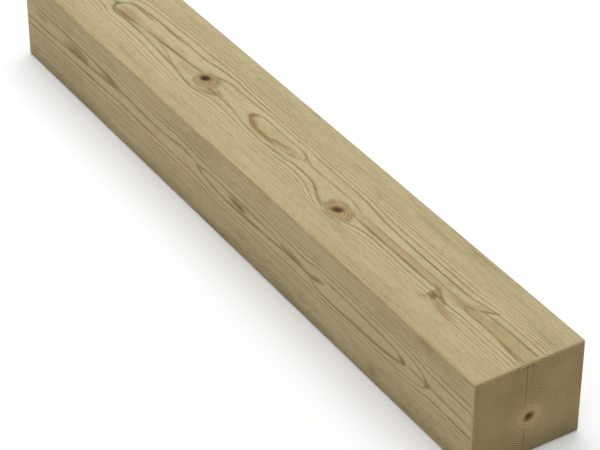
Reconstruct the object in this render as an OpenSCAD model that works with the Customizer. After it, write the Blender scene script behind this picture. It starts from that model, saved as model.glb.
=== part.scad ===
// Squared softwood timber: one solid stick of rectangular section, planed on four sides,
// with lightly rounded long arrises and eased ends. It lies on its wider face.
// Origin: centre of the bottom face. +X runs along the grain, +Y across the width, +Z up.

/* [Stick] */
// Length along the grain, end face to end face
stick_length = 1000; // [300:10:6000]
// Width of the section, the wider side, which lies flat
section_width = 140; // [60:1:300]
// Height of the section
section_height = 120; // [60:1:300]

/* [Edges] */
// Radius of the four long arrises
arris_radius = 2; // [1:0.5:10]
// Radius of the eased edges round each end face
end_radius = 4; // [1:0.5:10]

/* [Hidden] */
// Fineness of the drawn arcs
$fn = 64;
// How far a planing profile runs past the faces that it doesn't shape
overrun = 20;
timber_colour = "#BBA87C";

// Rectangle of the given sides, centred, with round corners of one radius
module rounded_rectangle(across, up, radius) {
    square([across - 2 * radius, up], center = true);
    square([across, up - 2 * radius], center = true);
    for (side = [-1, 1], level = [-1, 1])
        translate([side * (across / 2 - radius), level * (up / 2 - radius)])
            circle(r = radius);
}

// Planed section, run along the grain past both ends
module planed_section() {
    rotate([90, 0, 90])
        linear_extrude(height = stick_length + 2 * overrun, center = true)
            rounded_rectangle(section_width, section_height, arris_radius);
}

// Outline seen from the side, which eases the end faces' top and bottom edges
module side_outline() {
    rotate([90, 0, 0])
        linear_extrude(height = section_width + 2 * overrun, center = true)
            rounded_rectangle(stick_length, section_height, end_radius);
}

// Outline seen from above, which eases the end faces' upright edges
module plan_outline() {
    linear_extrude(height = section_height + 2 * overrun, center = true)
        rounded_rectangle(stick_length, section_width, end_radius);
}

// The whole stick: the section, cut to length and eased round both ends
module timber_post() {
    color(timber_colour)
        translate([0, 0, section_height / 2])
            intersection() {
                planed_section();
                side_outline();
                plan_outline();
            }
}

timber_post();
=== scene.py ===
"""Squared treated-pine timber: a stick with its grain, knots and end checks, in a plain studio."""

import math
from typing import NamedTuple

import bmesh
import bpy
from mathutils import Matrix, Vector


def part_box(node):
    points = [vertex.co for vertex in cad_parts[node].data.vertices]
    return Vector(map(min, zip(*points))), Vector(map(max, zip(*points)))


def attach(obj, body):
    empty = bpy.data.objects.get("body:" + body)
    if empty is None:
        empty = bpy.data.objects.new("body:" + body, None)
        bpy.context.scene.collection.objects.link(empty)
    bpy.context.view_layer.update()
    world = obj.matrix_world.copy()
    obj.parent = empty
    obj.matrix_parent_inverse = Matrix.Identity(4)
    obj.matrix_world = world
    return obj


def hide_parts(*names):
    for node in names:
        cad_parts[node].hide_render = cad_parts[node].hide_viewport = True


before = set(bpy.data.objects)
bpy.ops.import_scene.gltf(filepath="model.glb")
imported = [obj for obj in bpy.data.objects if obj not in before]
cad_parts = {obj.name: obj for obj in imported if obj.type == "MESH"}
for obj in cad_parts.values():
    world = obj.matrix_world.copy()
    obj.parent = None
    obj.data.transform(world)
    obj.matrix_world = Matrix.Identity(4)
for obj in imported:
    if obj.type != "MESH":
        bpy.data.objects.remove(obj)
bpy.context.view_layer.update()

bl_info = {
    "name": "Squared Timber",
    "version": (1, 0, 0),
    "blender": (4, 5, 0),
    "location": "View3D > Sidebar > Timber",
    "description": "Models a squared softwood stick with its grain, knots and end checks",
    "category": "Add Mesh",
}

NODE = "timber_post"
BODY = "root"
SLOT = "treated_pine"
MM = 0.001

# The stick's box, in metres from the frame and in millimetres for the grain
LOW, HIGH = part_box(NODE)
LENGTH, WIDTH, HEIGHT = HIGH - LOW
HALF_LENGTH_MM = LENGTH / 2 / MM
HALF_WIDTH_MM = WIDTH / 2 / MM
HEIGHT_MM = HEIGHT / MM


def linear(code):
    """Scene colour of a screen colour written as #RRGGBB."""
    shares = [int(code[i:i + 2], 16) / 255 for i in (1, 3, 5)]
    return tuple(s / 12.92 if s <= 0.04045 else ((s + 0.055) / 1.055) ** 2.4 for s in shares)


# Where the grain runs. Places are in millimetres in the stick's own frame.

# The pith, the heart of the tree, as it shows on the ends
PITH_ACROSS = 1.0
PITH_UP = 50.0
# The rings are wider above the pith than below it
RING_LEAN = 0.22
# Width of a ring at a given distance from the pith; rings nearer the pith are wider
RING_WIDTH = 1.7
RING_WIDTH_AT = 56.0
RING_POWER = 1.5
# Least distance from the pith that the ring count takes
PITH_LEAST = 0.01

# A point belongs to the face that its way from the pith leans to; between these shares it goes over
FACE_LEAN = (0.5, 0.85)
# How far from the middle of a face its flames sway, and lift, the lines beside them
SWAY_REACH = 26.0
CREST_REACH = 45.0
# The share of a ring at which its late wood starts, is darkest, and begins to fade
LATE_START = 0.48
LATE_PEAK = 0.9
LATE_FADE = 0.93
# Between these distances from its flames, in millimetres, the lines of a face come to their fullest
FLAME_REACH = (24, 6)
# Between these, the lines lose so much of their contrast
CONTRAST_REACH = (12, 42)
CONTRAST_LOSS = 0.62
# Tone of the wood where the contrast is lost, and what the top gains near its flames
PLAIN_TONE = 0.2
FLAME_TONE = 0.1
# The top grows darker from front to back, by so much for each millimetre
TOP_SLOPE = 0.0007

# The flames of the top face, as (place along the stick, value).
# Sideways place of their middle, in millimetres
TOP_MIDDLE = (
    (-500, -5), (-365, -6), (-340, -3), (-267, 0), (-190, -2), (-148, -2), (-110, 4), (-60, 3), (0, 0),
    (64, 4), (110, 4), (150, 3.5), (190, 0), (230, -3.5), (340, -5), (400, 0), (440, 2), (500, 2),
)
# Depth of the rings under it, in rings: a flame closes where this is a whole number
TOP_CREST = (
    (-500, 1.85), (-420, 1.95), (-374, 1.96), (-360, 1.6), (-340, 1.34), (-250, 1.3), (-195, 1.28),
    (-174, 1.12), (-160, 0.98), (-142, 0.7), (-120, 0.5), (-95, 0.34), (-70, 0.16), (-56, -0.02),
    (-44, -0.3), (-15, -0.62), (30, -0.56), (55, -0.28), (68, -0.03), (84, 0.03), (120, 0.04), (240, 0.03),
    (345, 0.03), (374, 0.01), (390, -0.08), (410, -0.28), (440, -0.42), (500, -0.5),
)
# How much wider than elsewhere the rings lie: 1 is plain, less is wider
TOP_SPREAD = (
    (-500, 1.0), (-380, 0.9), (-340, 0.78), (-267, 0.7), (-190, 0.62), (-150, 0.66), (-100, 0.84),
    (-56, 0.92), (0, 1.0), (500, 1.0),
)
SPREAD_REACH = 60.0
# The same for the front face: height of the flames' middle, and their depth
FRONT_MIDDLE = (
    (-500, 73), (-440, 75), (-350, 77), (-280, 77), (-244, 75.5), (-150, 72.8), (-100, 74.5), (-68, 73.5),
    (-50, 71), (0, 68.5), (100, 68.5), (150, 67.5), (184, 65.5), (230, 66), (350, 66), (380, 66), (425, 65),
    (483, 62), (500, 61),
)
FRONT_CREST = (
    (-500, 0.3), (-440, 0.34), (-400, 0.46), (-350, 0.62), (-280, 0.78), (-260, 0.88), (-244, 0.955),
    (-200, 0.955), (-120, 0.96), (-68, 0.96), (-48, 0.85), (-30, 0.74), (-10, 0.67), (35, 0.64),
    (90, 0.78), (150, 0.93), (183, 0.955), (196, 0.7), (225, 0.36), (300, 0.46), (350, 0.66),
    (368, 0.84), (380, 0.97), (395, 1.3), (412, 1.7), (425, 1.955), (450, 1.96), (500, 1.96),
)


class Spot(NamedTuple):
    """A soft oval on a face, in millimetres: its place, half sizes, tilt in degrees, and strength."""
    along: float
    across: float
    half_length: float
    half_width: float
    tilt: float
    strength: float


class Knot(NamedTuple):
    """A knot on the top face: its outline, its dark core, and how far the lines part round it."""
    body: Spot
    core: Spot
    part: float


KNOTS = (
    Knot(Spot(-146, -4, 18.5, 14.5, 0, 0.45), Spot(-150, -2.5, 7.6, 5.6, 8, 0.96), 0.3),
    Knot(Spot(169, -19, 25, 15, 0, 0.5), Spot(166.5, -18.5, 7.8, 5.0, 36, 0.82), 0.3),
)

# The lines part over an area that is so much larger than the knot, along and across
PART_ALONG = 1.25
PART_ACROSS = 1.5
# Rings that a knot shows from its middle to its outline
KNOT_RINGS = 4.6
# The share of a knot's ring at which its late wood starts and is darkest
KNOT_LATE = (0.5, 0.85)
# Distances from a knot's middle, where 1 is its outline, over which the face's lines stop and it starts
KNOT_CLEAR = (1.08, 0.9)
KNOT_FADE = (1.05, 0.8)
# Reach of a knot's outline, and the strength of the outline and the rings, which patches change
KNOT_OUTLINE = 0.1
KNOT_OUTLINE_DARK = 0.32
KNOT_RING_DARK = 0.66
KNOT_PATCHES = 1.4
# Distances from a core's middle over which its rusty rim fades in, to a strength, and its dark
CORE_RIM = (1.65, 0.9, 0.66)
CORE_FADE = (1.15, 0.5)

# Where the lines of the top face sag beside a knot; the strength is how far, in millimetres
SAGS = (
    Spot(158, -24, 42, 18, 0, 20),
    Spot(-180, -27, 42, 16, 0, 2),
)

# The spots in each list follow one another from the far end to the near end.

# Pink-brown streaks on the top face
STREAKS = (
    Spot(-338, -11.5, 30, 4.5, 4, 0.85),
    Spot(-334, -3, 34, 9, 2, 0.5),
    Spot(-262, -2, 52, 4.5, 2, 0.42),
    Spot(-222, 5, 20, 5, 3, 0.35),
    Spot(-184, -10, 28, 8, -4, 0.45),
    Spot(-148, -3, 30, 17, 0, 0.3),
    Spot(-120, -12, 17, 7, 26, 0.6),
    Spot(-47, 3, 9, 6.5, 40, 0.8),
    Spot(-34, -5, 24, 5, -20, 0.85),
    Spot(-10, -8.5, 28, 4.5, -2, 0.9),
    Spot(0, 3, 46, 8, 0, 0.22),
    Spot(18, -3, 34, 4, 14, 0.7),
    Spot(42, -1, 28, 6, 6, 0.38),
    Spot(268, -4.8, 100, 6.5, 0, 0.4),
    Spot(288, -1, 15, 5, 0, 0.4),
    Spot(336, -5, 18, 6, 0, 0.35),
    Spot(346, -30, 10, 5, 0, 0.4),
    Spot(380, -26, 30, 6, -8, 0.66),
    Spot(388, -1.5, 45, 7, 4, 0.52),
    Spot(398, 12, 16, 6, 35, 0.35),
    Spot(455, -4, 60, 4, -3, 0.5),
    Spot(462, 1, 74, 10, -2, 0.4),
)

# Parts of the top and the front where the dark side of a ring stays thin
THIN = (
    Spot(32, -8, 34, 4.5, 8, 0.26),
    Spot(60, -1, 14, 9, 0, 0.34),
    Spot(397, -0.5, 36, 12, 4, 0.24),
    Spot(432, -12, 62, 6, -5, 0.22),
)
FRONT_THIN = (
    Spot(-320, 77, 50, 9, 0, 0.1),
    Spot(-16, 69, 56, 11, 0, 0.18),
    Spot(112, 68.5, 44, 9, 0, 0.24),
    Spot(200, 73.5, 30, 7, 6, 0.4),
    Spot(360, 67, 34, 9, -4, 0.16),
    Spot(384, 56, 42, 6, 5, 0.3),
)

# Dark lines on the top face: those that edge the flames and those that run into the knots
STROKES = (
    Spot(-350, -16, 20, 1.8, -10, 0.6),
    Spot(-330, 12, 40, 3.0, 1, 0.7),
    Spot(-328, -10, 44, 2.6, 4, 0.8),
    Spot(-262, 16.8, 36, 3.0, 1, 0.7),
    Spot(-243, -9.5, 30, 1.8, -8, 0.55),
    Spot(-232, -3.6, 84, 2.6, 3.5, 0.9),
    Spot(-206, -18, 30, 2.0, -15, 0.65),
    Spot(-180, 0.2, 25, 2.4, 6.5, 0.75),
    Spot(-160, -24, 28, 1.8, 2, 0.45),
    Spot(-118, -15, 21, 2.2, 24, 0.7),
    Spot(-113, -5, 16, 1.8, -7, 0.65),
    Spot(-75, -10.4, 32, 2.2, -9, 0.58),
    Spot(-32, -6, 22, 2.2, -19, 0.6),
    Spot(-25, -16.3, 38, 2.2, -3, 0.58),
    Spot(12, -3.2, 34, 1.8, 14, 0.55),
    Spot(25, -14.6, 38, 2.2, 8, 0.6),
    Spot(66, 7, 20, 1.7, -14, 0.6),
    Spot(75, -10.6, 36, 2.2, 0, 0.64),
    Spot(92, 3.8, 30, 1.7, 0, 0.65),
    Spot(115, -15.5, 22, 2.4, -20, 0.62),
    Spot(134, 4.6, 38, 1.7, 1, 0.65),
    Spot(138, -24.6, 18, 2.4, -23, 0.66),
    Spot(172, 3.2, 24, 1.7, -9, 0.6),
    Spot(225, -10, 52, 2.3, 0, 0.85),
    Spot(245, -0.2, 80, 1.7, 0, 0.6),
    Spot(295, -9.6, 62, 2.3, 0.5, 0.85),
    Spot(335, 0.2, 70, 1.7, 0, 0.6),
    Spot(412, -5.6, 36, 2.0, 2, 0.7),
    Spot(470, -8, 38, 2.6, -5, 0.75),
)

# Small dark marks on the top face: dead twigs and the crotches where lines join
MARKS = (
    Spot(-139, -8, 6, 1.6, 40, 0.35),
    Spot(-136, -21, 11, 2.4, 8, 0.35),
    Spot(-133, 3, 5, 1.6, 60, 0.4),
    Spot(-49.5, 3.5, 4, 5, 30, 0.5),
    Spot(150, -18, 2.4, 10, -20, 0.35),
    Spot(158, -26, 9, 4, 20, 0.3),
    Spot(181, -25.5, 2.6, 2, 0, 0.4),
    Spot(184, -17, 3.5, 7, 15, 0.3),
    Spot(190, -19, 2.2, 7, 12, 0.4),
    Spot(345, -7, 11, 2.2, -6, 0.5),
    Spot(355.5, -19.2, 4.2, 3.6, 0, 0.75),
    Spot(360, -13, 17, 2.2, -26, 0.45),
    Spot(408.5, 14, 14, 2.6, 38, 0.7),
)

# A broken-off branch on the top face: a wedge with a straight edge towards the far end
WEDGE = Spot(346, -17.5, 33, 14, 0, 0.72)
# Places over which its straight edge comes in, distances over which its tip does, and how ragged that is
WEDGE_EDGE = (WEDGE.along - 2.5, WEDGE.along + 0.5)
WEDGE_FADE = (1.0, 0.3)
SPLINTERS = 1.4

# Stains on the front face
STAINS = (
    Spot(-455, 77, 22, 5, 0, 0.4),
    Spot(-358, 70, 42, 3.8, 1, 0.78),
    Spot(-354, 75.5, 36, 9, -4, 0.55),
    Spot(-336, 71.8, 13, 3.8, -4, 0.74),
    Spot(-265, 77, 32, 7, -6, 0.75),
    Spot(-20, 4, 60, 6, 0, 0.4),
    Spot(36, 68.4, 23, 5.5, -2, 0.9),
    Spot(150, 5, 44, 7, 0, 0.42),
    Spot(163, 68.3, 28, 4.4, -9, 0.72),
    Spot(202, 67, 19, 4, 13, 0.8),
    Spot(316, 16, 15, 11, 0, 0.48),
    Spot(412, 114, 24, 7, 0, 0.62),
)

# Strong lines on the front face
FRONT_STROKES = (
    Spot(-214, 74.4, 44, 2.3, -2, 0.6),
    Spot(-160, 72.8, 46, 2.2, 0, 0.58),
    Spot(-112, 75.6, 36, 2.4, 6, 0.66),
    Spot(-80, 77, 26, 2.3, -5, 0.64),
    Spot(-53, 69, 14, 2.2, -28, 0.7),
    Spot(-22, 62.6, 28, 2.5, -8, 0.76),
    Spot(22, 59.8, 34, 2.5, 0, 0.74),
    Spot(70, 61.5, 38, 2.5, 4, 0.76),
    Spot(122, 64.4, 48, 2.5, 3, 0.72),
    Spot(166, 66, 32, 2.6, -2, 0.62),
    Spot(258, 53.8, 76, 2.3, 0, 0.66),
    Spot(316, 54.6, 36, 2.1, 3, 0.6),
    Spot(346, 58, 22, 2.1, 10, 0.6),
    Spot(367, 63, 14, 2.1, 17, 0.58),
    Spot(398, 65.6, 26, 2.1, -1, 0.58),
    Spot(450, 63.8, 46, 2.2, -2, 0.55),
    Spot(455, 91.6, 64, 1.8, 0, 0.38),
)


class Band(NamedTuple):
    """A soft band of painted shade or highlight beside an arris: its distance from it and its reach, in
    millimetres, and its tone.
    """
    inset: float
    reach: float
    tone: float


# Beside the upper front arris: painted shade makes the front darker, and a painted highlight makes the top
# paler
FRONT_ARRIS_SHADE = Band(2.5, 3.0, 0.2)
TOP_ARRIS_HIGHLIGHT = Band(5.0, 4.0, 0.1)
# The front's tone grows with the height, from none at the first value
FRONT_EVEN_UP = 15
FRONT_RISE = 0.0008
# Heights over which painted shade darkens the front at its foot, and places over which the front turns
# darker at the far end
FOOT_REACH = (18, 4)
FOOT_SHADE = 0.15
FAR_REACH = (-250, -420)
FAR_DARK = 0.08


class Check(NamedTuple):
    """A hairline crack on an end, in millimetres: its place across, and the heights it runs between."""
    across: float
    low: float
    high: float


CHECKS = (
    Check(-4.9, 73, 116.5),
    Check(2.9, 101, 116.5),
    Check(-4.4, 6, 34),
)

# The pith's mark on the ends, the rings for each millimetre there, and two pale rings (radius, width)
PITH_MARK = Spot(PITH_ACROSS, PITH_UP, 5.4, 4.4, 20, 0.8)
END_RINGS = 0.38
PALE_RINGS = ((9, 1.3), (13.5, 1.4))
# Tone of the ends, and what their lines, the patches in these and the pores add
END_TONE = 0.35
END_LINE = 0.42
END_PATCHES = 1.1
END_PORES = 0.5
# How far the lines of the ends wander, in rings, and where in a ring late wood starts and is darkest
END_WANDER = 0.5
END_LATE = (0.2, 0.7)
# The ends are paler round the pith and in the pale rings, and darker with the height
HEART_PALE = 0.2
HEART_REACH = 26
RING_PALE = 0.24
END_EVEN_UP = 55
END_RISE = 0.0014
# Distances from the pith, where 1 is its outline, over which its rusty rim and its dark fade in
PITH_RIM = (1.8, 0.8)
PITH_FADE = (1.1, 0.3)
# The stained lips of a check: how far past its tips they start, how far on they are full above the lower
# tip, and the distances from it over which they fade in, to a strength
LIP_PAST = 2
LIP_FULL = 4
LIP_FADE = (0.8, 0.2, 0.25)
# Depths from an end over which end grain shows on it, and, inside an inset, on what is sunk into it
END_FADE = (3.2, 0.6)
SUNK_INSET = (4.0, 5.0)
SUNK_DEPTH = (9.0, 8.0)
# Depths over which the lines of a long face fade to a plain tone where it rounds over to an end
ROUND_OVER = (8.0, 2.0)
ROUND_OVER_TONE = 0.25

# Sizes of the soft noises in the wood, along and across the stick, in millimetres
WANDER_SIZE = (110, 14)
SMALL_WANDER_SIZE = (34, 6)
WEIGHT_SIZE = (180, 10)
FIBRE_SIZE = (75, 2.4)
PORE_SIZE = (11, 1.2)
MOTTLE_SIZE = (150, 24)
BLOTCH_SIZE = (34, 15)
SPLINTER_SIZE = (14, 3)
KNOT_PATCH_SIZE = (11, 11)
END_WANDER_SIZE = (26, 26)
END_PATCH_SIZE = (40, 40)
END_PORE_SIZE = (2, 2)
NOISE_DETAIL = 2.0
# How strongly the fibres, the pores and the mottle darken the wood
FIBRE_DARK = 0.75
PORE_DARK = 0.85
MOTTLE_DARK = 0.5
# How far the lines wander, in rings, by the large and the small noise, and how much less near the flames
WANDER = 0.22
SMALL_WANDER = 0.12
FLAME_CALM = 0.5
# Late wood starts later near the flames, but sooner in a heavy line, and a thin line is darkest later
FLAME_DELAY = 0.14
HEAVY_LEAD = 0.5
THIN_DELAY = 0.3
# Strength of a line: the least, what chance adds to a ring, and how far it sways along its way
LINE_LEAST = 0.6
LINE_CHANCE = 0.3
LINE_SWAY = 1.1
# Noise values over which blotches fade in, to a strength
BLOTCH_FADE = (0.02, 0.3, 0.22)
# The fine relief: the shares of the fibres, the pores and the lines, its strength, and its depth in metres
FIBRE_RELIEF = 0.4
PORE_RELIEF = 0.3
LINE_RELIEF = 0.5
RELIEF_STRENGTH = 0.4
RELIEF_DEPTH = 0.0005
# Roughness of the wood, how much less the lines have and the fibres and the ends more, and its sheen
ROUGHNESS = 0.68
LINE_GLOSS = 0.12
FIBRE_ROUGH = 0.25
END_ROUGH = 0.1
SHEEN = 0.2
# A spot fades in between these distances from its middle, where 1 is its outline
SPOT_FADE = (1.3, 0.2)
# Ragged outlines: the scale of their noise, and how far it shakes them along each axis
SHAKE_SCALE = 0.06
SHAKE = (10.0, 3.2, 3.2)

# The mesh, in metres: the cells of its grid across the faces, and the cuts along it
GRID_CELL = 0.008
LENGTH_CUTS = 99
EDGE_SEGMENTS = 6
# Finer cuts for a knot's relief, which reaches so many times its half length
KNOT_CUTS = 7
KNOT_REACH = 1.3
# Finer cuts round the pith, how far out they go, and how far out the pith is sunk
PITH_CUTS = 6
PITH_FIELD = 0.014
PITH_REACH = 0.006
# An edge runs along an axis, and a face looks along it, when its direction has this share of it
STRAIGHT = 0.999
FACING = 0.99
# How near an end, or a cut, a point has to lie to be found there
END_SLACK = 1e-4
CUT_SLACK = 1e-6
SMOOTH_ANGLE = math.radians(40)

# The stage, in metres: the floor, and the places and sizes of the two soft lamps
FLOOR_SIZE = 30.0
OVERHEAD_PLACE = (-0.7, 0.45, 2.6)
OVERHEAD_SIZE = 2.0
FRONT_PLACE = (-1.0, -3.0, 0.8)
FRONT_SIZE = 1.6
# The camera's sensor, in millimetres
SENSOR_WIDTH = 36.0
# The floor's colour as it is seen, and the light that it throws back, growing away from the stick
FLOOR_SEEN = (1.135, 1.145, 1.165, 1.0)
FLOOR_BACK = 0.67
FLOOR_BACK_REACH = (0.009, 0.05)
# The floor turns plain white between these distances, and distance past an end counts for more
FLOOR_WHITE_REACH = (0.8, 2.0)
PAST_END = 1.6
WHITE = (1.0, 1.0, 1.0, 1.0)


class TimberShape(bpy.types.PropertyGroup):
    """Sizes of the stick's edges and of its relief."""
    arris_radius: bpy.props.FloatProperty(
        name="Arris Radius", description="Radius of the four long arrises",
        default=0.002, min=0.0005, unit="LENGTH")
    end_radius: bpy.props.FloatProperty(
        name="End Radius", description="Radius of the eased edges round each end",
        default=0.004, min=0.0005, unit="LENGTH")
    knot_rise: bpy.props.FloatProperty(
        name="Knot Rise", description="How far the hard knots stand up from the planed face",
        default=0.0004, min=0.0, unit="LENGTH")
    core_depth: bpy.props.FloatProperty(
        name="Knot Core Depth", description="How deep the dark cores of the knots have sunk",
        default=0.0012, min=0.0, unit="LENGTH")
    pith_depth: bpy.props.FloatProperty(
        name="Pith Depth", description="How deep the soft pith has sunk into each end",
        default=0.0015, min=0.0, unit="LENGTH")
    check_depth: bpy.props.FloatProperty(
        name="Check Depth", description="Depth of the hairline cracks on the ends",
        default=0.0016, min=0.0, unit="LENGTH")
    check_width: bpy.props.FloatProperty(
        name="Check Width", description="Width of the hairline cracks on the ends",
        default=0.0005, min=0.0001, unit="LENGTH")


class TimberFinish(bpy.types.PropertyGroup):
    """Colours of the wood."""
    early_colour: bpy.props.FloatVectorProperty(
        name="Early Wood", description="Colour of the pale, soft part of each ring",
        default=linear("#C3B48B"), size=3, min=0.0, max=1.0, subtype="COLOR")
    side_colour: bpy.props.FloatVectorProperty(
        name="Early Wood, Front", description="Colour of the pale part of each ring on the front face",
        default=linear("#C2B087"), size=3, min=0.0, max=1.0, subtype="COLOR")
    late_colour: bpy.props.FloatVectorProperty(
        name="Late Wood", description="Colour of the dark, hard line of each ring",
        default=linear("#7A6A40"), size=3, min=0.0, max=1.0, subtype="COLOR")
    streak_colour: bpy.props.FloatVectorProperty(
        name="Streaks", description="Colour of the pink-brown streaks on the top face",
        default=linear("#A08050"), size=3, min=0.0, max=1.0, subtype="COLOR")
    rust_colour: bpy.props.FloatVectorProperty(
        name="Knot Rims", description="Colour of the rims of the knots' cores",
        default=linear("#7A5A36"), size=3, min=0.0, max=1.0, subtype="COLOR")
    core_colour: bpy.props.FloatVectorProperty(
        name="Knot Cores", description="Colour of the dark cores of the knots and of the pith",
        default=linear("#342004"), size=3, min=0.0, max=1.0, subtype="COLOR")
    end_colour: bpy.props.FloatVectorProperty(
        name="End Grain", description="Colour of the end grain",
        default=linear("#B5A17A"), size=3, min=0.0, max=1.0, subtype="COLOR")


class StudioSettings(bpy.types.PropertyGroup):
    """The camera and the light."""
    camera_place: bpy.props.FloatVectorProperty(
        name="Camera Place", description="Where the camera stands",
        default=(1.9703, -1.2039, 1.6201), size=3, subtype="TRANSLATION", unit="LENGTH")
    camera_turn: bpy.props.FloatProperty(
        name="Camera Turn", description="Turn of the camera about the vertical, from looking along +Y",
        default=math.radians(57.794), subtype="ANGLE", unit="ROTATION")
    camera_dip: bpy.props.FloatProperty(
        name="Camera Dip", description="How far the camera looks down from level",
        default=math.radians(35.169), subtype="ANGLE", unit="ROTATION")
    camera_lens: bpy.props.FloatProperty(
        name="Camera Lens", description="Focal length on a 36 mm sensor, in millimetres",
        default=142.47, min=10.0, subtype="DISTANCE_CAMERA")
    sky_level: bpy.props.FloatProperty(
        name="Sky Level", description="Strength of the even light from all round",
        default=0.74, min=0.0)
    overhead_power: bpy.props.FloatProperty(
        name="Overhead Power", description="Power of the soft lamp overhead, in watts",
        default=22.0, min=0.0, subtype="POWER")
    front_power: bpy.props.FloatProperty(
        name="Front Power", description="Power of the soft lamp on the front side, in watts",
        default=6.0, min=0.0, subtype="POWER")


class Wire:
    """A shader socket whose arithmetic is written as Python expressions."""

    def __init__(self, tree, socket=None):
        self.tree = tree
        self.socket = socket

    def node(self, kind, settings=None, inputs=None, output=0):
        """Adds a node. Its settings are set first, then the values or links of its sockets."""
        made = self.tree.nodes.new(kind)
        for name, value in (settings or {}).items():
            if name == "points":
                fill_curve(made.mapping, value)
            else:
                setattr(made, name, value)
        for name, value in (inputs or {}).items():
            if isinstance(value, Wire):
                self.tree.links.new(value.socket, made.inputs[name])
            else:
                made.inputs[name].default_value = value
        return Wire(self.tree, made.outputs[output] if made.outputs else None)

    def math(self, operation, *values):
        """A Math node on values."""
        return self.node("ShaderNodeMath", {"operation": operation}, dict(enumerate(values)))

    def vector(self, operation, *values, output="Vector"):
        """A Vector Math node on values."""
        return self.node("ShaderNodeVectorMath", {"operation": operation}, dict(enumerate(values)), output)

    def __add__(self, other):
        return self.math("ADD", self, other)

    def __radd__(self, other):
        return self.math("ADD", other, self)

    def __sub__(self, other):
        return self.math("SUBTRACT", self, other)

    def __rsub__(self, other):
        return self.math("SUBTRACT", other, self)

    def __mul__(self, other):
        return self.math("MULTIPLY", self, other)

    def __rmul__(self, other):
        return self.math("MULTIPLY", other, self)

    def __truediv__(self, other):
        return self.math("DIVIDE", self, other)

    def __pow__(self, other):
        return self.math("POWER", self, other)

    def __neg__(self):
        return self.math("MULTIPLY", self, -1.0)

    def __abs__(self):
        return self.math("ABSOLUTE", self)

    def sign(self):
        return self.math("SIGN", self)

    def step(self, low, high, top=1.0):
        """0 up to low, the top value from high on, and a smooth change between. High may be the lower."""
        return self.node(
            "ShaderNodeMapRange", {"interpolation_type": "SMOOTHSTEP"},
            {"Value": self, "From Min": low, "From Max": high, "To Max": top})

    def bell(self, reach):
        """1 at zero, falling off smoothly on both sides within about the given reach."""
        share = self / reach
        return self.math("POWER", 1 / math.e, share * share)

    def between(self, one, other):
        """The colour this share of the way between two. A Mix node's colours are sockets 6, 7 and 2."""
        return self.node("ShaderNodeMix", {"data_type": "RGBA"}, {0: self, 6: one, 7: other}, 2)

    def mix(self, other, share):
        """This colour turned towards another by a share."""
        return share.between(self, other)


def fill_curve(mapping, points):
    """Sets a curve's points from (place, value) pairs between 0 and 1."""
    line = mapping.curves[0]
    line.points[0].location = points[0]
    line.points[1].location = points[-1]
    for place, value in points[1:-1]:
        line.points.new(place, value)
    for point in line.points:
        point.handle_type = "AUTO_CLAMPED"
    mapping.update()


def along(x, points):
    """A curve along the stick through (place, value) pairs, read at x."""
    values = [value for _, value in points]
    low, high = min(values), max(values)
    shares = [
        ((place + HALF_LENGTH_MM) / (2 * HALF_LENGTH_MM), (value - low) / (high - low))
        for place, value in points
    ]
    share = (x + HALF_LENGTH_MM) / (2 * HALF_LENGTH_MM)
    read = x.node("ShaderNodeFloatCurve", {"points": shares}, {"Value": share})
    return low + (high - low) * read


def noise(place, long, fine):
    """Soft noise about zero, drawn out along the stick: its size along and across, in millimetres."""
    scaled = place.vector("DIVIDE", place, (long, fine, fine))
    cloud = place.node(
        "ShaderNodeTexNoise", {}, {"Vector": scaled, "Scale": 1.0, "Detail": NOISE_DETAIL}, "Fac")
    return cloud - 0.5


def ring_count(distance):
    """How many rings lie within a distance from the pith."""
    return distance ** RING_POWER * (1 / (RING_POWER * RING_WIDTH_AT ** (RING_POWER - 1) * RING_WIDTH))


def whole_ring_shift(distance):
    """What brings a face's ring count to a whole number where the face comes nearest the pith."""
    count = ring_count(distance)
    return round(count) - count


# The way out of a face, and the axes along and across it
FACES = {
    "top": (Vector((0, 0, 1)), 0, 1),
    "front": (Vector((0, -1, 0)), 0, 2),
    "end": (Vector((1, 0, 0)), 1, 2),
}


def oval(place, spot, face="top"):
    """Distance from the middle of a spot, 1 on its outline, through the whole depth under its face."""
    out, long_axis, wide_axis = FACES[face]
    cos, sin = math.cos(math.radians(spot.tilt)), math.sin(math.radians(spot.tilt))
    middle, shares = Vector(), Vector()
    middle[long_axis], middle[wide_axis] = spot.along, spot.across
    shares[long_axis], shares[wide_axis] = 1 / spot.half_length, 1 / spot.half_width
    turned_middle = middle * cos + middle.cross(out) * sin
    local = place.vector("MULTIPLY_ADD", place, shares * cos, -turned_middle * shares)
    if spot.tilt:
        turned = place.vector("CROSS_PRODUCT", place, out)
        local = place.vector("MULTIPLY_ADD", turned, shares * sin, local)
    return place.vector("LENGTH", local, output="Value")


def spots(place, places, face="top"):
    """How strongly any of a list of spots shows at a point."""
    shown = None
    for spot in places:
        one = oval(place, spot, face).step(*SPOT_FADE, spot.strength)
        shown = one.math("MAXIMUM", shown, one) if shown else one
    return shown


class Point(NamedTuple):
    """A point in the shader: its place in millimetres, exact and shaken, and the three parts of it."""
    start: Wire
    place: Wire
    loose: Wire
    x: Wire
    y: Wire
    z: Wire


class Rings(NamedTuple):
    """At a point: the ring count, the distance from the flames, and how far it is on top and in front."""
    count: Wire
    away: Wire
    on_top: Wire
    in_front: Wire


class Colours(NamedTuple):
    """The wood's colours as the shader takes them."""
    early: tuple
    side: tuple
    late: tuple
    streak: tuple
    rust: tuple
    core: tuple
    end: tuple


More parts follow.
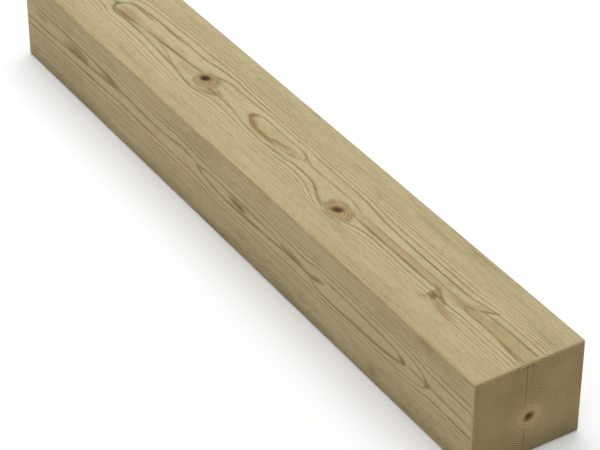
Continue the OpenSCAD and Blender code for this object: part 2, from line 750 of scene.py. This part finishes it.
def read_point(tree):
    """The point that is shaded."""
    start = Wire(tree)
    metres = start.node("ShaderNodeTexCoord", {}, {}, "Object")
    place = start.node("ShaderNodeVectorMath", {"operation": "SCALE"}, {0: metres, "Scale": 1 / MM})
    split = start.node("ShaderNodeSeparateXYZ", {}, {0: place})
    x, y, z = (Wire(tree, output) for output in split.socket.node.outputs)
    cloud = start.node(
        "ShaderNodeTexNoise", {}, {"Vector": place, "Scale": SHAKE_SCALE, "Detail": NOISE_DETAIL}, "Color")
    shake = start.vector("MULTIPLY", start.vector("SUBTRACT", cloud, (0.5, 0.5, 0.5)), SHAKE)
    return Point(start, place, start.vector("ADD", place, shake), x, y, z)


def ring_field(point):
    """The rings at a point, bent by the flames and the knots of the face that it is on."""
    top_distance = HEIGHT_MM - PITH_UP
    side_distance = HALF_WIDTH_MM + PITH_ACROSS
    side_rise = RING_LEAN * side_distance / math.sqrt(1 - RING_LEAN ** 2)
    up = point.z - PITH_UP
    across = point.y - PITH_ACROSS
    reach = up.math("SQRT", across * across + up * up)
    flat_share = (abs(up) / reach).step(*FACE_LEAN)
    side_share = (abs(across) / reach).step(*FACE_LEAN)
    on_top = flat_share * up.step(0.0, 1.0)
    in_front = side_share * across.step(0.0, -1.0)
    # The bottom and the back carry the same flames turned end for end
    x_flat = point.x * up.sign()
    x_side = -(point.x * across.sign())

    # Lines sag beside the knots and part round them
    parted = across
    for sag in SAGS:
        parted = parted + on_top * oval(point.place, sag).bell(1.0) * sag.strength
    for knot in KNOTS:
        wide = knot.body._replace(
            half_length=PART_ALONG * knot.body.half_length, half_width=PART_ACROSS * knot.body.half_width)
        pull = oval(point.place, wide).bell(1.0)
        parted = parted - on_top * pull * knot.part * (point.y - knot.body.across)

    middle = along(x_flat, TOP_MIDDLE)
    u = parted - flat_share * middle * (parted - middle).bell(SWAY_REACH)
    u = u * (1 - flat_share * (1 - along(x_flat, TOP_SPREAD)) * u.bell(SPREAD_REACH))
    rise = along(x_side, FRONT_MIDDLE) - (PITH_UP + side_rise)
    v = up - side_share * rise * (up - side_rise - rise).bell(SWAY_REACH)
    lean = up.math("SQRT", u * u + v * v) - RING_LEAN * v
    count = ring_count(up.math("MAXIMUM", lean, PITH_LEAST))
    top_shift = whole_ring_shift(top_distance * (1 - RING_LEAN))
    side_shift = whole_ring_shift(side_distance * math.sqrt(1 - RING_LEAN ** 2))
    top_crest = along(x_flat, TOP_CREST) * u.bell(CREST_REACH) + top_shift
    side_crest = along(x_side, FRONT_CREST) * (v - side_rise).bell(CREST_REACH) + side_shift
    count = count + flat_share * top_crest + side_share * side_crest
    away = flat_share * abs(u) + side_share * abs(v - side_rise)
    return Rings(count, away, on_top, in_front)


def late_line(count, start, peak):
    """Darkness over a ring: a rise through the late wood and a sharp fall to the next ring."""
    share = count.math("FRACT", count)
    return share.step(start, peak) * share.step(1.0, LATE_FADE)


def ring_lines(point, rings, near):
    """Darkness of the rings' lines on the long faces, and how heavy each line is along its way."""
    place, on_top = point.place, rings.on_top
    wander = noise(place, *WANDER_SIZE) * WANDER + noise(place, *SMALL_WANDER_SIZE) * SMALL_WANDER
    count = rings.count + wander * (1 - FLAME_CALM * near)
    heavy = noise(place, *WEIGHT_SIZE)
    thin = on_top * spots(place, THIN) + rings.in_front * spots(place, FRONT_THIN, "front")
    clear = 1.0
    for knot in KNOTS:
        clear = clear * (1 - on_top * oval(place, knot.body).step(*KNOT_CLEAR))
    late_start = LATE_START + near * (FLAME_DELAY - HEAVY_LEAD * heavy) + thin
    line = clear * late_line(count, late_start, LATE_PEAK + THIN_DELAY * thin)
    ring_number = count.math("FLOOR", count)
    ring_strength = count.node(
        "ShaderNodeTexWhiteNoise", {"noise_dimensions": "1D"}, {"W": ring_number}, "Value")
    return line, (LINE_LEAST + LINE_CHANCE * ring_strength) * (1 + LINE_SWAY * heavy)


def side_dark(point, rings, dark):
    """The darkness of the long faces with the strong lines, the stains and the tone of each face added,
    part of it painted shade and highlight.
    """
    start, on_top, in_front = point.start, rings.on_top, rings.in_front
    dark = start.math("MAXIMUM", dark, on_top * spots(point.place, STROKES))
    dark = start.math("MAXIMUM", dark, in_front * spots(point.loose, STAINS, "front"))
    dark = start.math("MAXIMUM", dark, in_front * spots(point.place, FRONT_STROKES, "front"))
    # A painted highlight makes the top paler along its front arris, and painted shade makes the front
    # darker
    arris_shade = (point.z - (HEIGHT_MM - FRONT_ARRIS_SHADE.inset)).bell(FRONT_ARRIS_SHADE.reach)
    arris_highlight = (point.y + (HALF_WIDTH_MM - TOP_ARRIS_HIGHLIGHT.inset)).bell(TOP_ARRIS_HIGHLIGHT.reach)
    dark = dark + FRONT_ARRIS_SHADE.tone * in_front * arris_shade - TOP_ARRIS_HIGHLIGHT.tone * on_top * arris_highlight
    # The front is a little darker higher up and at the far end, and painted shade darkens its foot
    rise = FRONT_RISE * (point.z - FRONT_EVEN_UP)
    foot_shade = point.z.step(*FOOT_REACH)
    far = point.x.step(*FAR_REACH)
    return dark + in_front * (rise + FOOT_SHADE * foot_shade + FAR_DARK * far)


def paint_branch(colour, point, on_top, colours):
    """Paints the broken-off branch and the small marks on the top face."""
    x, y = point.x, point.y
    cut_off = (x - WEDGE.along) / WEDGE.half_length + abs(y - WEDGE.across) / WEDGE.half_width
    ragged = cut_off + SPLINTERS * noise(point.place, *SPLINTER_SIZE)
    wedge = x.step(*WEDGE_EDGE) * ragged.step(*WEDGE_FADE, WEDGE.strength)
    colour = colour.mix(colours.rust, on_top * wedge)
    return colour.mix(colours.rust, on_top * spots(point.loose, MARKS))


def paint_knots(colour, point, on_top, colours):
    """Paints the knots with their rings, their outlines and their dark cores."""
    patchy = KNOT_PATCHES * noise(point.place, *KNOT_PATCH_SIZE)
    for knot in KNOTS:
        ring = oval(point.loose, knot.body)
        heart = oval(point.loose, knot.core)
        inside = on_top * ring.step(*KNOT_FADE)
        outline = on_top * (ring - 1.0).bell(KNOT_OUTLINE)
        growth = inside * late_line(ring * KNOT_RINGS, *KNOT_LATE)
        colour = colour.mix(colours.streak, inside * knot.body.strength)
        colour = colour.mix(colours.late, growth * (KNOT_RING_DARK + patchy))
        colour = colour.mix(colours.late, outline * (KNOT_OUTLINE_DARK + patchy))
        colour = colour.mix(colours.rust, on_top * heart.step(*CORE_RIM))
        colour = colour.mix(colours.core, on_top * heart.step(*CORE_FADE, knot.core.strength))
    return colour


def end_grain(point, colours):
    """Colour of the ends: rings round the pith, the pith and the stained lips of the checks."""
    place, z = point.place, point.z
    off_pith = oval(place, PITH_MARK._replace(half_length=1.0, half_width=1.0, tilt=0), "end")
    count = off_pith * END_RINGS + END_WANDER * noise(place, *END_WANDER_SIZE)
    weight = END_LINE + END_PATCHES * noise(place, *END_PATCH_SIZE)
    dark = END_TONE + late_line(count, *END_LATE) * weight + END_PORES * noise(place, *END_PORE_SIZE)
    dark = dark - HEART_PALE * off_pith.bell(HEART_REACH) + END_RISE * (z - END_EVEN_UP)
    for radius, width in PALE_RINGS:
        dark = dark - RING_PALE * (off_pith - radius).bell(width)
    colour = dark.between(colours.end, colours.late)
    pith = oval(point.loose, PITH_MARK, "end")
    colour = colour.mix(colours.rust, pith.step(*PITH_RIM, PITH_MARK.strength))
    colour = colour.mix(colours.core, pith.step(*PITH_FADE, PITH_MARK.strength))
    for check in CHECKS:
        off = abs(point.y - check.across)
        run = z.step(check.low - LIP_PAST, check.low + LIP_FULL) * z.step(check.high + LIP_PAST, check.high)
        colour = colour.mix(colours.rust, run * off.step(*LIP_FADE))
    return colour


def timber_material(finish):
    """Treated pine: rings, flames, streaks and knots on the sides, and end grain with its pith."""
    material = bpy.data.materials.new(SLOT)
    material.use_nodes = True
    material.node_tree.nodes.clear()
    colours = Colours(*((*colour, 1.0) for colour in (
        finish.early_colour, finish.side_colour, finish.late_colour, finish.streak_colour,
        finish.rust_colour, finish.core_colour, finish.end_colour)))
    point = read_point(material.node_tree)
    start, place = point.start, point.place
    rings = ring_field(point)
    on_top, in_front = rings.on_top, rings.in_front

    # How dark the long faces are: the rings, stronger near the flames, with fibres, pores and mottle
    near = rings.away.step(*FLAME_REACH)
    contrast = 1 - CONTRAST_LOSS * rings.away.step(*CONTRAST_REACH)
    line, weight = ring_lines(point, rings, near)
    fibre = noise(place, *FIBRE_SIZE)
    pores = noise(place, *PORE_SIZE)
    mottle = noise(place, *MOTTLE_SIZE)
    dark = line * weight * contrast + PLAIN_TONE * (1 - contrast)
    dark = dark + on_top * (point.y * TOP_SLOPE + FLAME_TONE * near)
    dark = dark + FIBRE_DARK * fibre + PORE_DARK * pores + MOTTLE_DARK * mottle
    dark = side_dark(point, rings, dark)
    # The lines fade out where a long face rounds over to an end
    end_depth = HALF_LENGTH_MM - abs(point.x)
    dark = dark + end_depth.step(*ROUND_OVER) * (ROUND_OVER_TONE - dark)

    # The pale wood with its streaks, the lines over it, then the branch and the knots
    pale = in_front.between(colours.early, colours.side)
    pale = pale.mix(colours.streak, noise(place, *BLOTCH_SIZE).step(*BLOTCH_FADE))
    pale = pale.mix(colours.streak, on_top * spots(point.loose, STREAKS))
    colour = pale.mix(colours.late, dark)
    colour = paint_branch(colour, point, on_top, colours)
    colour = paint_knots(colour, point, on_top, colours)

    # End grain, also on the walls of the pith and checks sunk into it
    rim = start.math("MINIMUM", HALF_WIDTH_MM - abs(point.y), HEIGHT_MM / 2 - abs(point.z - HEIGHT_MM / 2))
    sunk = rim.step(*SUNK_INSET) * end_depth.step(*SUNK_DEPTH)
    on_end = start.math("MAXIMUM", end_depth.step(*END_FADE), sunk)
    colour = colour.mix(end_grain(point, colours), on_end)

    height = fibre * FIBRE_RELIEF + pores * PORE_RELIEF - line * contrast * LINE_RELIEF
    bump = start.node("ShaderNodeBump", {}, {
        "Strength": RELIEF_STRENGTH, "Distance": RELIEF_DEPTH, "Height": height}, "Normal")
    roughness = ROUGHNESS - LINE_GLOSS * line + FIBRE_ROUGH * fibre + END_ROUGH * on_end
    shader = start.node("ShaderNodeBsdfPrincipled", {}, {
        "Base Color": colour, "Roughness": roughness, "Normal": bump, "Specular IOR Level": SHEEN})
    start.node("ShaderNodeOutputMaterial", {}, {"Surface": shader})
    return material


def deselect_all():
    bpy.ops.object.select_all(action="DESELECT")


def pick(piece, kind, test):
    """Selects, in edit mode, the verts, edges or faces that pass a test."""
    bpy.ops.mesh.select_all(action="DESELECT")
    mesh = bmesh.from_edit_mesh(piece.data)
    for item in getattr(mesh, kind):
        if test(item):
            item.select_set(True)
    mesh.select_flush_mode()
    bmesh.update_edit_mesh(piece.data)


def edge_runs(edge, axis):
    """Whether an edge runs along one axis."""
    way = (edge.verts[1].co - edge.verts[0].co).normalized()
    return abs(way[axis]) > STRAIGHT


def cut(piece, axis, places, test=None):
    """Slices the faces that pass a test at places along an axis."""
    for place in places:
        pick(piece, "faces", test or (lambda face: True))
        at, way = [0.0] * 3, [0.0] * 3
        at[axis] = place
        way[axis] = 1.0
        bpy.ops.mesh.bisect(plane_co=at, plane_no=way)


def even_cuts(low, high, cell):
    """Places that cut a length into equal cells of about the given size."""
    count = round((high - low) / cell)
    return [low + (high - low) * i / count for i in range(1, count)]


def refine(piece, test, cuts):
    """Cuts the faces that pass a test into a finer grid."""
    bpy.ops.mesh.select_mode(type="FACE")
    pick(piece, "faces", test)
    bpy.ops.mesh.subdivide(number_cuts=cuts)


def push(piece, centre, way, reach):
    """Moves the vertex nearest a point, with its neighbours following less and less out to a reach."""
    bpy.ops.mesh.select_mode(type="VERT")
    mesh = bmesh.from_edit_mesh(piece.data)
    nearest = min(mesh.verts, key=lambda vert: (vert.co - centre).length_squared)
    pick(piece, "verts", lambda vert: vert == nearest)
    bpy.ops.transform.translate(
        value=way, use_proportional_edit=True, proportional_edit_falloff="SMOOTH", proportional_size=reach)


def open_check(piece, side, check, shape):
    """Opens a hairline crack on one end: cuts its two lips and its bed, and sinks the bed."""
    across, low, high = check.across * MM, check.low * MM, check.high * MM

    def crossed(face):
        sides = [vert.co.y for vert in face.verts]
        heights = [vert.co.z for vert in face.verts]
        meets = min(sides) < across + shape.check_width and max(sides) > across - shape.check_width
        return side * face.normal.x > FACING and meets and max(heights) > low and min(heights) < high

    bpy.ops.mesh.select_mode(type="FACE")
    half = shape.check_width / 2
    cut(piece, 1, (across - half, across, across + half), crossed)
    bpy.ops.mesh.select_mode(type="VERT")
    pick(piece, "verts", lambda vert: side * vert.co.x > LENGTH / 2 - END_SLACK
         and abs(vert.co.y - across) < CUT_SLACK and low < vert.co.z < high)
    bpy.ops.transform.translate(value=(-side * shape.check_depth, 0.0, 0.0))


def rounded_stick(shape):
    """A block of the stick's size with its edges rounded, less along the grain than round the ends."""
    deselect_all()
    bpy.ops.mesh.primitive_cube_add(size=1.0, location=(LOW + HIGH) / 2, scale=(LENGTH, WIDTH, HEIGHT))
    stick = bpy.context.object
    bpy.ops.object.transform_apply(location=True, rotation=True, scale=True)
    bpy.ops.object.mode_set(mode="EDIT")
    bpy.ops.mesh.select_mode(type="EDGE")
    bpy.ops.mesh.select_all(action="SELECT")
    bpy.ops.transform.edge_bevelweight(value=1.0)
    pick(stick, "edges", lambda edge: edge_runs(edge, 0))
    bpy.ops.transform.edge_bevelweight(value=shape.arris_radius / shape.end_radius - 1.0)
    bpy.ops.object.mode_set(mode="OBJECT")
    bpy.ops.object.modifier_add(type="BEVEL")
    rounding = stick.modifiers[-1]
    rounding.limit_method = "WEIGHT"
    rounding.width = shape.end_radius
    rounding.segments = EDGE_SEGMENTS
    bpy.ops.object.modifier_apply(modifier=rounding.name)
    return stick


def model_stick(shape):
    """The squared stick: its arrises and ends rounded, then knots, pith and checks worked into it."""
    stick = rounded_stick(shape)
    stick.name = "timber_stick"
    stick.data.name = "timber_stick"
    bpy.ops.object.mode_set(mode="EDIT")
    bpy.ops.mesh.select_mode(type="FACE")

    inset = max(shape.arris_radius, shape.end_radius)
    cut(stick, 1, even_cuts(LOW.y + inset, HIGH.y - inset, GRID_CELL))
    cut(stick, 2, even_cuts(LOW.z + inset, HIGH.z - inset, GRID_CELL))
    bpy.ops.mesh.select_mode(type="EDGE")
    pick(stick, "edges", lambda edge: edge_runs(edge, 0) and edge.calc_length() > LENGTH / 2)
    bpy.ops.mesh.subdivide(number_cuts=LENGTH_CUTS)

    # Knots stand a little proud and their cores have sunk
    for knot in KNOTS:
        place = Vector((knot.body.along * MM, knot.body.across * MM, HIGH.z))
        heart = Vector((knot.core.along * MM, knot.core.across * MM, HIGH.z))
        reach = KNOT_REACH * knot.body.half_length * MM
        refine(stick, lambda face: face.normal.z > FACING
               and (face.calc_center_median() - place).length < reach, KNOT_CUTS)
        push(stick, place, (0.0, 0.0, shape.knot_rise), reach)
        push(stick, heart, (0.0, 0.0, -shape.core_depth), knot.core.half_length * MM)

    # On both ends the pith has sunk and hairline checks have opened
    for side in (-1, 1):
        pith = Vector((side * LENGTH / 2, PITH_ACROSS * MM, PITH_UP * MM))
        refine(stick, lambda face: side * face.normal.x > FACING
               and (face.calc_center_median() - pith).length < PITH_FIELD, PITH_CUTS)
        push(stick, pith, (-side * shape.pith_depth, 0.0, 0.0), PITH_REACH)
        for check in CHECKS:
            open_check(stick, side, check, shape)
    bpy.ops.object.mode_set(mode="OBJECT")
    return stick


def lay_out_map(stick):
    """A map without overlaps: the long faces as strips one above the other, the ends in a row below."""
    gap = 0.006
    ends_high = 0.16
    scale = (1 - ends_high - 6 * gap) / (2 * (WIDTH + HEIGHT))
    strips = {}
    level = ends_high + 2 * gap
    for axis, side in ((2, 1), (2, -1), (1, -1), (1, 1)):
        strips[axis, side] = level
        level += (WIDTH if axis == 2 else HEIGHT) * scale + gap
    # A face of the rounding that looks both ways goes with the long faces
    bias = (0.99, 1.0, 1.0)
    layer = stick.data.uv_layers.new(name="OFBake")
    for face in stick.data.polygons:
        axis = max(range(3), key=lambda i: abs(face.normal[i]) * bias[i])
        side = 1 if face.normal[axis] > 0 else -1
        for corner in face.loop_indices:
            at = stick.data.vertices[stick.data.loops[corner].vertex_index].co - LOW
            if axis == 0:
                wide = 0.5 - 1.5 * gap
                u = gap + at.y / WIDTH * wide + (0.5 - gap / 2 if side > 0 else 0.0)
                v = gap + at.z / HEIGHT * ends_high
            else:
                u = gap + at.x / LENGTH * (1 - 2 * gap)
                v = strips[axis, side] + (at.y if axis == 2 else at.z) * scale
            layer.data[corner].uv = (u, v)


class TIMBER_OT_stick(bpy.types.Operator):
    """Models the squared stick with its knots, checks and grain"""
    bl_idname = "timber.model_stick"
    bl_label = "Model the Stick"
    bl_options = {"REGISTER", "UNDO"}

    def execute(self, context):
        stick = model_stick(context.scene.timber_shape)
        lay_out_map(stick)
        stick.data.materials.append(timber_material(context.scene.timber_finish))
        deselect_all()
        stick.select_set(True)
        context.view_layer.objects.active = stick
        bpy.ops.object.shade_smooth_by_angle(angle=SMOOTH_ANGLE)
        bpy.ops.object.modifier_add(type="WEIGHTED_NORMAL")
        stick.modifiers[-1].keep_sharp = True
        bpy.ops.object.modifier_apply(modifier=stick.modifiers[-1].name)
        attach(stick, BODY)
        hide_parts(NODE)
        return {"FINISHED"}


def add_area_lamp(name, place, target, size, power):
    """A square soft lamp aimed at a point."""
    data = bpy.data.lights.new(name, "AREA")
    data.shape = "SQUARE"
    data.size = size
    data.energy = power
    lamp = bpy.data.objects.new(name, data)
    bpy.context.scene.collection.objects.link(lamp)
    lamp.location = place
    aim = lamp.location - target
    lamp.rotation_euler = aim.to_track_quat("Z", "Y").to_euler()


def seen_rays(start):
    """1 for the rays that show the surroundings: the camera's, and those mirrored or let through to it."""
    rays = start.node("ShaderNodeLightPath").socket.node.outputs
    seen = Wire(start.tree, rays["Is Camera Ray"])
    for name in ("Is Glossy Ray", "Is Transmission Ray"):
        seen = start.math("MAXIMUM", seen, Wire(start.tree, rays[name]))
    return seen


def floor_material():
    """A white floor that keeps the shadow and throws back less light than it shows, least by the stick."""
    material = bpy.data.materials.new("studio_floor")
    material.use_nodes = True
    tree = material.node_tree
    tree.nodes.clear()
    start = Wire(tree)
    seen = seen_rays(start)
    place = start.node("ShaderNodeTexCoord", {}, {}, "Object")
    split = start.node("ShaderNodeSeparateXYZ", {}, {0: place})
    x, y, _ = (Wire(tree, output) for output in split.socket.node.outputs)
    beyond = PAST_END * start.math("MAXIMUM", abs(x) - LENGTH / 2, 0.0)
    beside = start.math("MAXIMUM", abs(y) - WIDTH / 2, 0.0)
    off = start.math("SQRT", beyond * beyond + beside * beside)
    back = off.step(*FLOOR_BACK_REACH, FLOOR_BACK)
    grey = start.node("ShaderNodeCombineXYZ", {}, {"X": back, "Y": back, "Z": back})
    colour = grey.mix(FLOOR_SEEN, seen)
    diffuse = start.node("ShaderNodeBsdfDiffuse", {}, {"Color": colour})
    # Far from the stick the lamps fall off, so the camera sees plain white there
    white = start.node("ShaderNodeEmission", {}, {"Color": WHITE, "Strength": 1.0})
    far = seen * off.step(*FLOOR_WHITE_REACH)
    floor = start.node("ShaderNodeMixShader", {}, {0: far, 1: diffuse, 2: white})
    start.node("ShaderNodeOutputMaterial", {}, {"Surface": floor})
    return material


def set_world(level):
    """Even light from all round, and a white background where the camera looks past the floor."""
    world = bpy.data.worlds.new("studio")
    bpy.context.scene.world = world
    world.use_nodes = True
    tree = world.node_tree
    tree.nodes.clear()
    start = Wire(tree)
    strength = level + (1 - level) * seen_rays(start)
    background = start.node("ShaderNodeBackground", {}, {"Color": WHITE, "Strength": strength})
    start.node("ShaderNodeOutputWorld", {}, {"Surface": background})


class TIMBER_OT_stage(bpy.types.Operator):
    """Sets the floor, the light and the camera"""
    bl_idname = "timber.set_stage"
    bl_label = "Set the Stage"
    bl_options = {"REGISTER", "UNDO"}

    def execute(self, context):
        studio = context.scene.timber_studio
        deselect_all()
        bpy.ops.mesh.primitive_plane_add(size=FLOOR_SIZE, location=(0.0, 0.0, LOW.z))
        floor = context.object
        floor.name = "studio_floor"
        floor.data.materials.append(floor_material())

        set_world(studio.sky_level)
        middle = (LOW + HIGH) / 2
        add_area_lamp("overhead_lamp", OVERHEAD_PLACE, middle, OVERHEAD_SIZE, studio.overhead_power)
        add_area_lamp("front_lamp", FRONT_PLACE, middle, FRONT_SIZE, studio.front_power)

        lens = bpy.data.cameras.new("studio_camera")
        lens.sensor_fit = "HORIZONTAL"
        lens.sensor_width = SENSOR_WIDTH
        lens.lens = studio.camera_lens
        camera = bpy.data.objects.new("studio_camera", lens)
        context.scene.collection.objects.link(camera)
        camera.location = studio.camera_place
        camera.rotation_euler = (math.pi / 2 - studio.camera_dip, 0.0, studio.camera_turn)
        context.scene.camera = camera
        context.scene.view_settings.view_transform = "Standard"
        return {"FINISHED"}


class TIMBER_PT_panel(bpy.types.Panel):
    """Lists the sizes, the colours and the steps"""
    bl_idname = "TIMBER_PT_panel"
    bl_label = "Squared Timber"
    bl_space_type = "VIEW_3D"
    bl_region_type = "UI"
    bl_category = "Timber"

    def draw(self, context):
        scene = context.scene
        for settings, step in (
            (scene.timber_shape, TIMBER_OT_stick.bl_idname),
            (scene.timber_finish, None),
            (scene.timber_studio, TIMBER_OT_stage.bl_idname),
        ):
            box = self.layout.box()
            for name in settings.__annotations__:
                box.prop(settings, name)
            if step:
                box.operator(step)


CLASSES = (
    TimberShape, TimberFinish, StudioSettings, TIMBER_OT_stick, TIMBER_OT_stage, TIMBER_PT_panel,
)


def register():
    for cls in CLASSES:
        bpy.utils.register_class(cls)
    bpy.types.Scene.timber_shape = bpy.props.PointerProperty(type=TimberShape)
    bpy.types.Scene.timber_finish = bpy.props.PointerProperty(type=TimberFinish)
    bpy.types.Scene.timber_studio = bpy.props.PointerProperty(type=StudioSettings)


def unregister():
    del bpy.types.Scene.timber_studio
    del bpy.types.Scene.timber_finish
    del bpy.types.Scene.timber_shape
    for cls in reversed(CLASSES):
        bpy.utils.unregister_class(cls)


def main():
    register()
    bpy.ops.timber.model_stick()
    bpy.ops.timber.set_stage()


if __name__ == "__main__":
    main()
